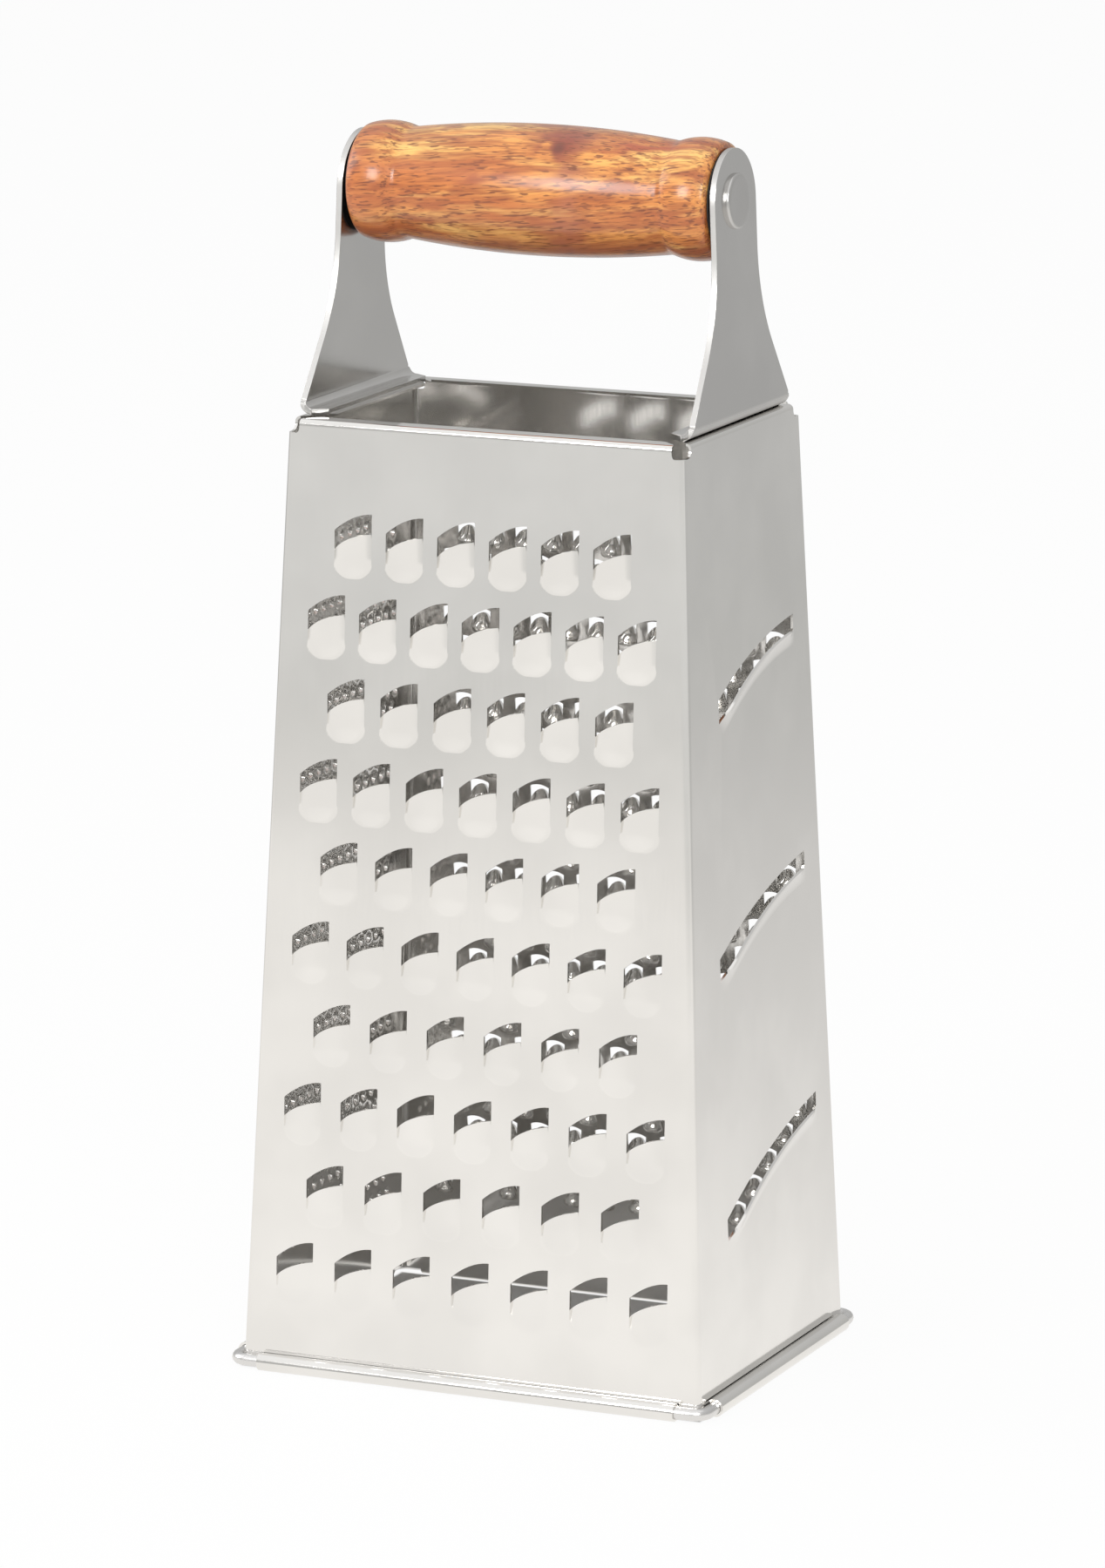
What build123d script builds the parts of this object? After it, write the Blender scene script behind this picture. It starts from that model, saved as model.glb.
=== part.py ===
from build123d import *
import math
import os

os.makedirs("parts", exist_ok=True)

# Four-sided box grater. X runs along the grip, -Y is the coarse face, +X the slicing face.
# Z is up from the floor and the origin is under the middle of the body.

# Sheet body: an open tapered box, measured over the outside of the sheet
body_height = 189.0
base_width = 98.0
base_depth = 75.4
top_width = 83.1
top_depth = 58.8
sheet = 0.5
corner_bend = 1.4

# Inward flange round the top, and the relief notch at each of its corners
flange_bend = 1.1
front_flange = 4.0
side_flange = 6.4
notch_radius = 1.6

# Hem: the foot of each wall is rolled outward round one ring of wire
wire_diameter = 2.5
wire_play = 0.05
hem_flat = 0.1
hem_end_gap = 4.5

# Coarse teeth: a slanting arched window over a round scoop pressed outward
coarse_width = 7.9
coarse_window = 3.85
coarse_slant = 3.5
coarse_arch = 0.85
coarse_crown = 0.85
coarse_scoop = 2.2
coarse_tail = 5.3
coarse_rows = 10
coarse_long_row = 7
coarse_row_pitch = 16.12
coarse_first_row = 22.7
coarse_margin = 10.3

# Medium teeth on the back wall: smaller, with a nearly half-round lip
medium_width = 4.1
medium_window = 1.3
medium_slant = 0.3
medium_arch = 1.6
medium_crown = 0.5
medium_scoop = 1.3
medium_tail = 2.2
medium_rows = 25
medium_long_row = 12
medium_row_pitch = 5.93
medium_first_row = 22.6
medium_margin = 8.4
medium_shift = 0.9

# Zesting holes on the left wall
zest_hole = 2.0
zest_pitch_across = 3.7
zest_pitch_up = 3.3
zest_first_row = 20.0
zest_last_row = 172.0
zest_margin = 8.0

# Slicing slots on the right wall: an arched slot, pointed at its low end, over a raised lip
slot_tips = (31.4, 82.9, 133.1)
slot_lengths = (47.0, 44.4, 38.9)
slot_rises = (16.4, 14.3, 11.9)
slot_mouth = 3.0
slot_crest = 3.0
slot_front = 4.6
slot_arch = 2.6
slot_back_margin = 9.0
lip_height = 1.0
lip_reach = 3.0

# Arms: two plates of thicker sheet that carry on the slope of the side walls, with a bent foot
# on the side flanges
arm_sheet = 1.2
arm_radius = 10.2
arm_flare_radius = 35.0
arm_flare_top = 222.6
arm_flare_angle = math.radians(34)
arm_foot_width = 48.6
arm_foot_bend = 2.7
arm_foot_reach = 5.6
arm_foot_taper = 2.2
arm_corner_radius = 1.5

# Grip: turned wood, thickest in the middle, with a bead at each end
grip_axis_height = 232.1
grip_end_play = 0.05
grip_middle_diameter = 25.6
grip_neck_diameter = 21.9
grip_bead_diameter = 23.9
grip_end_diameter = 22.0
grip_neck_inset = 10.0
grip_bead_inset = 4.6
grip_edge_radius = 0.8

# Rivet through the grip, and the thin black washers between wood and arms
rivet_diameter = 5.0
rivet_arm_play = 0.05
rivet_grip_play = 0.07
rivet_head_diameter = 10.8
rivet_head_height = 0.9
rivet_head_round = 0.6
washer_thickness = 0.3
washer_diameter = 20.0
washer_play = 0.05

# How far a cut runs past the face that it starts or ends at
overrun = 1.0

hem_inner_radius = wire_diameter / 2 + wire_play
hem_radius = hem_inner_radius + sheet
hem_height = hem_radius - hem_flat
wire_corner_radius = corner_bend + hem_inner_radius
front_lean = math.atan((base_depth - top_depth) / 2 / body_height)
side_lean = math.atan((base_width - top_width) / 2 / body_height)


# Straight taper of the body: full outside width and depth at a height
def width_at(height):
    return base_width + (top_width - base_width) * height / body_height


def depth_at(height):
    return base_depth + (top_depth - base_depth) * height / body_height


# The arms' faces at the rivet, and the washers' outer faces, which the arms lean towards
arm_across = arm_sheet / math.cos(side_lean)
arm_outside = width_at(grip_axis_height) / 2
arm_inside = arm_outside - arm_across
washer_outside = arm_inside - washer_diameter / 2 * math.tan(side_lean) - washer_play


# Each wall's own plane: x along the wall, y up its slope, z out of its outer face
coarse_plane = Plane(
    origin=(0, -base_depth / 2, 0),
    x_dir=(1, 0, 0),
    z_dir=(0, -math.cos(front_lean), math.sin(front_lean)),
)
medium_plane = Plane(
    origin=(0, base_depth / 2, 0),
    x_dir=(-1, 0, 0),
    z_dir=(0, math.cos(front_lean), math.sin(front_lean)),
)
slicer_plane = Plane(
    origin=(base_width / 2, 0, 0),
    x_dir=(0, 1, 0),
    z_dir=(math.cos(side_lean), 0, math.sin(side_lean)),
)
zester_plane = Plane(
    origin=(-base_width / 2, 0, 0),
    x_dir=(0, -1, 0),
    z_dir=(-math.cos(side_lean), 0, math.sin(side_lean)),
)


# Bent section of a wall, from the middle of its hem up to the free edge of its flange.
# It is drawn with x out from the middle of the body and y up.
def wall_section(base_half, top_half, flange):
    lean = math.atan((base_half - top_half) / body_height)
    inward = sheet / math.cos(lean)
    foot_half = base_half - hem_height * math.tan(lean)
    outer = FilletPolyline(
        (foot_half, hem_height),
        (top_half, body_height),
        (top_half - flange, body_height),
        radius=flange_bend,
    )
    inner_top = top_half - inward + sheet * math.tan(lean)
    inner = FilletPolyline(
        (top_half - flange, body_height - sheet),
        (inner_top, body_height - sheet),
        (foot_half - inward, hem_height),
        radius=flange_bend - sheet,
    )
    edge = Line(outer @ 1, inner @ 0)
    foot = Line(inner @ 1, outer @ 0)
    return make_face([outer, edge, inner, foot])


# Rolled hem of a wall, hollow for the wire, with a narrow flat pressed on its underside
def hem_section(base_half, lean):
    centre = base_half - hem_height * math.tan(lean) + hem_inner_radius
    roll = Pos(centre, hem_height) * (Circle(hem_radius) - Circle(hem_inner_radius))
    floor = Pos(centre, -hem_radius) * Rectangle(4 * hem_radius, 2 * hem_radius)
    return roll - floor


# One quarter of the body between the mitre planes through its corner edges,
# inside the rounded outline that the bent corners have
def wall_sector(toward_front):
    slices = []
    for height in (0, body_height):
        half_x = width_at(height) / 2
        half_y = depth_at(height) / 2
        inner = min(half_x, half_y) / 2
        if toward_front:
            outline = Polyline(
                (-half_x, -half_y),
                (half_x, -half_y),
                (half_x - inner, inner - half_y),
                (inner - half_x, inner - half_y),
                close=True,
            )
        else:
            outline = Polyline(
                (half_x, -half_y),
                (half_x, half_y),
                (half_x - inner, half_y - inner),
                (half_x - inner, inner - half_y),
                close=True,
            )
        slices.append(Pos(0, 0, height) * make_face(outline))
    quarter = loft(slices, ruled=True)
    rounded = loft(
        [
            Pos(0, 0, height) * RectangleRounded(width_at(height), depth_at(height), corner_bend)
            for height in (0, body_height)
        ],
        ruled=True,
    )
    return quarter & rounded


# Round notches that relieve the sheet where two bends and a corner meet
def corner_notches():
    notches = []
    for side_x in (-1, 1):
        for side_y in (-1, 1):
            corner = (side_x * top_width / 2, side_y * top_depth / 2, body_height - notch_radius / 2)
            across = Plane(origin=corner, x_dir=(0, 0, 1), z_dir=(side_x, side_y, 0))
            notches.append(across * Cylinder(notch_radius, 4 * notch_radius))
    return notches


# A plain wall with flange and hem. The section is drawn for a wall that faces +X
# and then turned to face the way the wall does.
def plain_wall(toward_front):
    if toward_front:
        base_half, top_half = base_depth / 2, top_depth / 2
        flange, lean, length = front_flange, front_lean, base_width
        upright = Plane(origin=(0, 0, 0), x_dir=(0, -1, 0), z_dir=(-1, 0, 0))
    else:
        base_half, top_half = base_width / 2, top_width / 2
        flange, lean, length = side_flange, side_lean, base_depth
        upright = Plane(origin=(0, 0, 0), x_dir=(1, 0, 0), z_dir=(0, -1, 0))
    section = wall_section(base_half, top_half, flange)
    wall = extrude(upright * section, length / 2, both=True) & wall_sector(toward_front)
    hem_half = length / 2 - hem_end_gap
    hem = extrude(upright * hem_section(base_half, lean), hem_half, both=True)
    return wall + hem - corner_notches()


# Grid of teeth: long and short rows take turns, and the columns fan out with the taper
def tooth_places(rows, long_row, first_row, row_pitch, margin, shift):
    places = []
    for row in range(rows):
        height = first_row + row * row_pitch
        pair_height = first_row + (row - row % 2) * row_pitch
        pitch = (width_at(pair_height) - 2 * margin) / (long_row - 1)
        count = long_row - row % 2
        for column in range(count):
            across = (column - (count - 1) / 2) * pitch + shift
            places.append((across, height / math.cos(front_lean)))
    return places


# Height of a window's low end over its middle. The lip rises by arch and the top edge by crown.
def window_low(opening, slant, arch, crown):
    return crown - arch - (opening + slant) / 2


# Window of a tooth: its lower edge is the cutting lip
def window_outline(width, opening, slant, arch, crown):
    half = width / 2
    low = window_low(opening, slant, arch, crown)
    crest = low + slant / 2 + arch
    side = opening + arch - crown
    lip = ThreePointArc((-half, low), (0, crest), (half, low + slant))
    top = ThreePointArc((half, low + slant + side), (0, crest + opening), (-half, low + side))
    return make_face([lip, Line(lip @ 1, top @ 0), top, Line(top @ 1, lip @ 0)])


# Round-bottomed scoop of a tooth, as a solid of the given swell, standing on the sheet
def scoop_solid(width, swell, shrink, low, top, depth):
    half = width / 2
    radius = (half**2 + swell**2) / (2 * swell)
    centre = swell - radius
    ball = Pos(0, low + half, centre) * Sphere(radius - shrink)
    barrel = Plane(origin=(0, low + half, centre), z_dir=(0, 1, 0)) * Cylinder(
        radius - shrink, top - low - half, align=(Align.CENTER, Align.CENTER, Align.MIN)
    )
    keep = Pos(0, 0, -depth) * Box(
        4 * radius, 8 * radius, 4 * radius, align=(Align.CENTER, Align.CENTER, Align.MIN)
    )
    return (ball + barrel) & keep


# A wall full of teeth: scoops are added to it, then each is hollowed and opened in one cut
def toothed_wall(turned, places, width, opening, slant, arch, crown, swell, tail):
    low = window_low(opening, slant, arch, crown)
    high = low + max(slant, slant / 2 + arch) + sheet / 2
    swollen = scoop_solid(width, swell, 0, low - tail, high, sheet / 2)
    hollow = scoop_solid(width, swell, sheet, low - tail, high, 2 * sheet)
    window = Pos(0, 0, -sheet - overrun) * extrude(
        window_outline(width, opening, slant, arch, crown), swell + sheet + 2 * overrun
    )
    opened = hollow + window
    wall = Rot(0, 0, 180) * plain_wall(True) if turned else plain_wall(True)
    plane = medium_plane if turned else coarse_plane
    wall = wall + [plane * Pos(u, v) * swollen for u, v in places]
    return wall - [plane * Pos(u, v) * opened for u, v in places]


# Coarse grating wall, in front
coarse_places = tooth_places(
    coarse_rows, coarse_long_row, coarse_first_row, coarse_row_pitch, coarse_margin, 0
)
coarse_wall = toothed_wall(
    False,
    coarse_places,
    coarse_width,
    coarse_window,
    coarse_slant,
    coarse_arch,
    coarse_crown,
    coarse_scoop,
    coarse_tail,
)
export_step(coarse_wall, "parts/coarse_wall.step")

# Medium grating wall, at the back
medium_places = tooth_places(
    medium_rows, medium_long_row, medium_first_row, medium_row_pitch, medium_margin, -medium_shift
)
medium_wall = toothed_wall(
    True,
    medium_places,
    medium_width,
    medium_window,
    medium_slant,
    medium_arch,
    medium_crown,
    medium_scoop,
    medium_tail,
)
export_step(medium_wall, "parts/medium_wall.step")


# Zesting wall, on the left: a staggered field of small round holes
def zest_places():
    places = []
    rows = int((zest_last_row - zest_first_row) / zest_pitch_up) + 1
    for row in range(rows):
        height = zest_first_row + row * zest_pitch_up
        room = depth_at(height) - 2 * zest_margin
        shift = row % 2
        count = int(room / zest_pitch_across) + 1
        count -= (count + shift) % 2
        for column in range(count):
            places.append(((column - (count - 1) / 2) * zest_pitch_across, height / math.cos(side_lean)))
    return places


zest_field = [Pos(u, v) * Circle(zest_hole / 2) for u, v in zest_places()]
zest_cut = extrude(zester_plane * Sketch(children=zest_field), zest_hole / 2, both=True)
zester_wall = Rot(0, 0, 180) * plain_wall(False) - zest_cut
export_step(zester_wall, "parts/zester_wall.step")


# Slicing wall, on the right: each slot is an arched cut with a raised lip along its lower edge.
# The lower edge is an arc from the slot's pointed front end to its open back end.
def slot_circle(length, rise):
    half_chord = math.hypot(length, rise) / 2
    radius = (half_chord**2 + slot_arch**2) / (2 * slot_arch)
    tilt = math.atan2(rise, length)
    drop = radius - slot_arch
    centre = (length / 2 + drop * math.sin(tilt), rise / 2 - drop * math.cos(tilt))
    sweep = 2 * math.asin(half_chord / radius)
    return radius, centre, sweep, tilt


def slot_outline(length, rise):
    radius, centre, sweep, tilt = slot_circle(length, rise)
    crest_x = centre[0] - radius * math.sin(tilt)
    crest_y = centre[1] + radius * math.cos(tilt)
    lower = ThreePointArc((0, 0), (crest_x, crest_y), (length, rise))
    upper = ThreePointArc((length, rise + slot_mouth), (crest_x, crest_y + slot_crest), (0, slot_front))
    return make_face([lower, Line(lower @ 1, upper @ 0), upper, Line(upper @ 1, lower @ 0)])


# The lip is a strip of the sheet that tilts outward, swept round the slot's own circle
def slot_lip(length, rise):
    radius, centre, sweep, tilt = slot_circle(length, rise)
    strip = Polyline(
        (radius - lip_reach, -sheet),
        (radius - lip_reach, 0),
        (radius, lip_height),
        (radius, lip_height - sheet),
        close=True,
    )
    start = math.pi / 2 + tilt + sweep / 2
    spoke = Plane(
        origin=(centre[0], centre[1], 0),
        x_dir=(math.cos(start), math.sin(start), 0),
        z_dir=(math.sin(start), -math.cos(start), 0),
    )
    return revolve(spoke * make_face(strip), Axis(centre, (0, 0, 1)), -math.degrees(sweep))


slicer_wall = plain_wall(False)
for tip, length, rise in zip(slot_tips, slot_lengths, slot_rises):
    start = depth_at(tip + rise) / 2 - slot_back_margin - length
    place = slicer_plane * Pos(start, tip / math.cos(side_lean))
    slicer_wall -= extrude(place * slot_outline(length, rise), lip_reach, both=True)
    slicer_wall += place * slot_lip(length, rise)
export_step(slicer_wall, "parts/slicer_wall.step")


# Ring of wire inside the hems, bare round the four corners
wire_half_x = base_width / 2 - hem_height * math.tan(side_lean) + hem_inner_radius
wire_half_y = base_depth / 2 - hem_height * math.tan(front_lean) + hem_inner_radius
wire_path = Pos(0, 0, hem_height) * RectangleRounded(2 * wire_half_x, 2 * wire_half_y, wire_corner_radius)
wire_start = Plane(origin=(0, -wire_half_y, hem_height), z_dir=(1, 0, 0))
base_wire = sweep(wire_start * Circle(wire_diameter / 2), path=wire_path.wire())
export_step(base_wire, "parts/base_wire.step")


# Face of an arm: round at the top, flaring in a hollow curve and then straight to its foot
def arm_outline():
    foot_half = arm_foot_width / 2
    hollow_centre = arm_radius + arm_flare_radius
    low_x = hollow_centre - arm_flare_radius * math.cos(arm_flare_angle)
    low_y = arm_flare_top - arm_flare_radius * math.sin(arm_flare_angle)
    mid_x = hollow_centre - arm_flare_radius * math.cos(arm_flare_angle / 2)
    mid_y = arm_flare_top - arm_flare_radius * math.sin(arm_flare_angle / 2)
    foot_top = low_y - (foot_half - low_x) / math.tan(arm_flare_angle)
    flare = ThreePointArc((low_x, low_y), (mid_x, mid_y), (arm_radius, arm_flare_top))
    straight = Line(flare @ 1, (arm_radius, grip_axis_height))
    crown = ThreePointArc(straight @ 1, (0, grip_axis_height + arm_radius), (-arm_radius, grip_axis_height))
    straight_back = Line(crown @ 1, (-arm_radius, arm_flare_top))
    flare_back = ThreePointArc(straight_back @ 1, (-mid_x, mid_y), (-low_x, low_y))
    foot = Polyline(
        flare_back @ 1,
        (-foot_half, foot_top),
        (-foot_half, body_height),
        (foot_half, body_height),
        (foot_half, foot_top),
        flare @ 0,
    )
    face = make_face([flare, straight, crown, straight_back, flare_back, foot])
    corners = [v for v in face.vertices() if abs(v.Y - foot_top) < arm_sheet / 2]
    return fillet(corners, arm_corner_radius)


# Right arm: the bent section and the face outline give the same plate from two sides
def right_arm_solid():
    top = grip_axis_height + 2 * arm_radius
    heel = top_width / 2
    inner_heel = width_at(body_height + arm_sheet) / 2 - arm_across
    outer = FilletPolyline(
        (width_at(top) / 2, top),
        (heel, body_height),
        (heel - arm_foot_reach, body_height),
        radius=arm_foot_bend,
    )
    inner = FilletPolyline(
        (heel - arm_foot_reach, body_height + arm_sheet),
        (inner_heel, body_height + arm_sheet),
        (width_at(top) / 2 - arm_across, top),
        radius=arm_foot_bend - arm_sheet,
    )
    section = make_face([outer, Line(outer @ 1, inner @ 0), inner, Line(inner @ 1, outer @ 0)])
    upright = Plane(origin=(0, 0, 0), x_dir=(1, 0, 0), z_dir=(0, -1, 0))
    bent = extrude(upright * section, arm_foot_width, both=True)
    side_on = Plane(origin=(0, 0, 0), x_dir=(0, 1, 0), z_dir=(1, 0, 0))
    arm = bent & extrude(side_on * arm_outline(), top_width)
    for side in (-1, 1):
        half = side * arm_foot_width / 2
        taper = Polyline(
            (heel - arm_foot_bend / 2, half),
            (heel - arm_foot_reach - overrun, half),
            (heel - arm_foot_reach - overrun, half - side * arm_foot_taper),
            close=True,
        )
        arm -= Pos(0, 0, body_height) * extrude(make_face(taper), arm_foot_bend, both=True)
    hole = Pos(arm_outside, 0, grip_axis_height) * Rot(0, 90, 0)
    return arm - hole * Cylinder(rivet_diameter / 2 + rivet_arm_play, 4 * arm_sheet)


right_arm = right_arm_solid()
left_arm = Rot(0, 0, 180) * right_arm
export_step(right_arm, "parts/right_arm.step")
export_step(left_arm, "parts/left_arm.step")


# Grip, turned about the rivet's axis
def grip_solid():
    half = washer_outside - washer_thickness - grip_end_play
    bore = rivet_diameter / 2 + rivet_grip_play
    end = (half, grip_end_diameter / 2)
    bead = (half - grip_bead_inset, grip_bead_diameter / 2)
    neck = (half - grip_neck_inset, grip_neck_diameter / 2)
    left_end, left_bead, left_neck = [(-x, radius) for x, radius in (end, bead, neck)]
    outline = [
        ThreePointArc(left_end, left_bead, left_neck),
        ThreePointArc(left_neck, (0, grip_middle_diameter / 2), neck),
        ThreePointArc(neck, bead, end),
        Line(end, (half, bore)),
        Line((half, bore), (-half, bore)),
        Line((-half, bore), left_end),
    ]
    turned = revolve(make_face(outline), Axis.X)
    rims = turned.edges().filter_by(GeomType.CIRCLE).filter_by(lambda e: e.radius > rivet_diameter)
    return Pos(0, 0, grip_axis_height) * fillet(rims, grip_edge_radius)


wooden_grip = grip_solid()
export_step(wooden_grip, "parts/wooden_grip.step")


# Rivet: one rod through arms and grip, closed over at both ends into flat heads that lie
# against the leaning arms
def rivet_solid():
    rod = Cylinder(rivet_diameter / 2, 2 * arm_outside + rivet_head_height)
    rivet = Pos(0, 0, grip_axis_height) * Rot(0, 90, 0) * rod
    face = Plane(
        origin=(arm_outside, 0, grip_axis_height),
        x_dir=(0, 1, 0),
        z_dir=(math.cos(side_lean), 0, math.sin(side_lean)),
    )
    head = Cylinder(
        rivet_head_diameter / 2,
        rivet_head_height,
        align=(Align.CENTER, Align.CENTER, Align.MIN),
    )
    right_head = face * fillet(head.edges().group_by(Axis.Z)[-1], rivet_head_round)
    return rivet + right_head + Rot(0, 0, 180) * right_head


grip_rivet = rivet_solid()
export_step(grip_rivet, "parts/grip_rivet.step")


# Washers between the ends of the grip and the arms
def washer_solid(side):
    ring = Cylinder(washer_diameter / 2, washer_thickness) - Cylinder(
        rivet_diameter / 2 + rivet_arm_play, 2 * washer_thickness
    )
    centre = side * (washer_outside - washer_thickness / 2)
    return Pos(centre, 0, grip_axis_height) * Rot(0, 90, 0) * ring


export_step(washer_solid(-1), "parts/left_washer.step")
export_step(washer_solid(1), "parts/right_washer.step")
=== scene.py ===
import math

import bmesh
import bpy
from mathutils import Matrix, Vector


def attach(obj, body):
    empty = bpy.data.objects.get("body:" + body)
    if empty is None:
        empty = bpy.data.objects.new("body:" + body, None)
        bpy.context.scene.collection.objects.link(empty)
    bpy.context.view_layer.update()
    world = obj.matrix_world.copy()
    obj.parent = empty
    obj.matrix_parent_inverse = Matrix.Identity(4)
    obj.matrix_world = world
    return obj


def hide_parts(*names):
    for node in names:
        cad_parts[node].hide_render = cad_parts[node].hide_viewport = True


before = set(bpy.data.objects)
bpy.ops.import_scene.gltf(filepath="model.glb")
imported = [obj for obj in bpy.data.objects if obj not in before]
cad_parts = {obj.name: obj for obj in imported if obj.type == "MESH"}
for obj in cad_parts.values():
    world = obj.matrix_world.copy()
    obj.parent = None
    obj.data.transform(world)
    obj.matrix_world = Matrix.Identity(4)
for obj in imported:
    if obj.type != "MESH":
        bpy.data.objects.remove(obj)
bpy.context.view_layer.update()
mm = 0.001


# The setting: a white table under broad soft lamps, seen from the front right and a little
# from above. In the polished steel the table is white near the grater and greyer far off.
target = Vector((1.49, 0.0, 114.6)) * mm
distance = 1550
azimuth, elevation = math.radians(23.7), math.radians(11.95)
level = Vector((math.sin(azimuth), -math.cos(azimuth), 0.0)) * math.cos(elevation)
bpy.ops.object.camera_add(
    location=target + (level + Vector((0, 0, math.sin(elevation)))) * distance * mm,
    rotation=(math.pi / 2 - elevation, 0, azimuth),
)
camera = bpy.context.object
camera.data.sensor_fit = "HORIZONTAL"
camera.data.sensor_width = 36.0
camera.data.lens = 256.8
bpy.context.scene.camera = camera
bpy.context.scene.view_settings.view_transform = "Standard"


class Shade:
    """A socket of a material, used in sums like a number."""

    def __init__(self, tree, socket=None):
        self.tree = tree
        self.socket = socket

    def node(self, kind, settings=None, inputs=None, output=0):
        node = self.tree.nodes.new(kind)
        for name, value in (settings or {}).items():
            if name == "stops":
                elements = node.color_ramp.elements
                while len(elements) > 1:
                    elements.remove(elements[-1])
                elements[0].position, elements[0].color = value[0]
                for place, colour in value[1:]:
                    elements.new(place).color = colour
            else:
                setattr(node, name, value)
        for name, value in (inputs or {}).items():
            if isinstance(value, Shade):
                self.tree.links.new(value.socket, node.inputs[name])
            else:
                node.inputs[name].default_value = value
        return Shade(self.tree, node.outputs[output] if node.outputs else None)

    def math(self, operation, first, second=0.0):
        return self.node("ShaderNodeMath", {"operation": operation}, {0: first, 1: second})

    def __add__(self, other):
        return self.math("ADD", self, other)

    def __sub__(self, other):
        return self.math("SUBTRACT", self, other)

    def __rsub__(self, other):
        return self.math("SUBTRACT", other, self)

    def __mul__(self, other):
        return self.math("MULTIPLY", self, other)

    __radd__ = __add__
    __rmul__ = __mul__

    def size(self):
        return self.math("ABSOLUTE", self)

    def most(self, other):
        return self.math("MAXIMUM", self, other)

    def between(self, low, high):
        """0 below low, 1 above high, smooth in the middle."""
        return self.node(
            "ShaderNodeMapRange",
            {"interpolation_type": "SMOOTHSTEP"},
            {"Value": self, "From Min": low, "From Max": high},
        )

    def mix(self, factor, first, second):
        return self.node("ShaderNodeMix", {"data_type": "RGBA"}, {0: factor, 6: first, 7: second}, output=2)


def shader_tree(owner):
    owner.use_nodes = True
    owner.node_tree.nodes.clear()
    return Shade(owner.node_tree)


table_radius = 6.0
under_x, under_y, under_fade = 48.5 * mm, 37.2 * mm, 1.0 * mm
tone_reach = 2.0
seen_white = 0.94
bpy.ops.mesh.primitive_circle_add(vertices=96, radius=table_radius, fill_type="NGON")
table = bpy.context.object
table.name = "table"
white_table = bpy.data.materials.new("white_table")
table.data.materials.append(white_table)
shade = shader_tree(white_table)
place = shade.node("ShaderNodeTexCoord", output="Object")
far = shade.node("ShaderNodeVectorMath", {"operation": "LENGTH"}, {0: place}, output="Value")
across = shade.node("ShaderNodeSeparateXYZ", None, {0: place}, output="X")
deep = shade.node("ShaderNodeSeparateXYZ", None, {0: place}, output="Y")
past_x = across.size().between(under_x, under_x + under_fade)
past_y = deep.size().between(under_y, under_y + under_fade)
outside = past_x.most(past_y)

# Under the grater the table is plain matt board. Outside, the camera sees it white with a soft
# shadow, and the steel mirrors tones that change with distance, lighter in front than behind.
matt = shade.node("ShaderNodeBsdfPrincipled", None, {"Base Color": (0.8, 0.8, 0.79, 1), "Roughness": 0.9})
plain_white = shade.node("ShaderNodeEmission", None, {"Color": (1, 1, 1, 1), "Strength": 1.0})
behind = deep.between(-0.15, 0.3)
front_stops = [
    (0.07, (1.0, 0.985, 0.96, 1)),
    (0.12, (0.955, 0.94, 0.915, 1)),
    (0.35, (0.955, 0.94, 0.915, 1)),
    (0.46, (0.83, 0.82, 0.80, 1)),
    (0.60, (0.69, 0.69, 0.675, 1)),
    (0.71, (0.70, 0.70, 0.69, 1)),
    (0.78, (0.76, 0.76, 0.75, 1)),
]
back_stops = [
    (0.12, (0.79, 0.78, 0.765, 1)),
    (0.33, (0.63, 0.625, 0.615, 1)),
    (0.46, (0.535, 0.535, 0.525, 1)),
    (0.66, (0.54, 0.54, 0.535, 1)),
]
table_front = shade.node("ShaderNodeValToRGB", {"stops": front_stops}, {"Fac": far * (1 / tone_reach)})
table_back = shade.node("ShaderNodeValToRGB", {"stops": back_stops}, {"Fac": far * (1 / tone_reach)})
mirrored = shade.node(
    "ShaderNodeBsdfPrincipled",
    None,
    {
        "Base Color": (0, 0, 0, 1),
        "Specular IOR Level": 0.0,
        "Emission Color": shade.mix(behind, table_front, table_back),
        "Emission Strength": 1.0,
    },
)
seen = shade.node("ShaderNodeLightPath", output="Is Camera Ray")
glossy = shade.node("ShaderNodeLightPath", output="Is Glossy Ray")
white_share = seen * outside * seen_white
seen_table = shade.node("ShaderNodeMixShader", None, {0: white_share, 1: matt, 2: plain_white})
both = shade.node("ShaderNodeMixShader", None, {0: glossy * outside, 1: seen_table, 2: mirrored})
shade.node("ShaderNodeOutputMaterial", None, {"Surface": both})

studio = bpy.data.worlds.new("studio")
bpy.context.scene.world = studio
shade = shader_tree(studio)
direction = shade.node("ShaderNodeTexCoord", output="Generated")
height = shade.node("ShaderNodeSeparateXYZ", None, {0: direction}, output="Z")
walls_light = shade.mix(height.between(-0.1, 0.9), (0.50, 0.50, 0.49, 1), (0.62, 0.62, 0.62, 1))
room = shade.node("ShaderNodeBackground", None, {"Color": walls_light, "Strength": 1.0})
backdrop = shade.node("ShaderNodeBackground", None, {"Color": (1, 1, 1, 1), "Strength": 1.0})
seen = shade.node("ShaderNodeLightPath", output="Is Camera Ray")
both = shade.node("ShaderNodeMixShader", None, {0: seen, 1: room, 2: backdrop})
shade.node("ShaderNodeOutputWorld", None, {"Surface": both})
lamp_aim = Vector((0, 0, 0.12))


def soft_lamp(name, spot, size, power):
    bpy.ops.object.light_add(type="AREA", location=spot)
    lamp = bpy.context.object
    lamp.name = name
    lamp.data.shape = "SQUARE"
    lamp.data.size = size
    lamp.data.energy = power
    lamp.rotation_euler = (lamp_aim - lamp.location).to_track_quat("-Z", "Y").to_euler()


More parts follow.
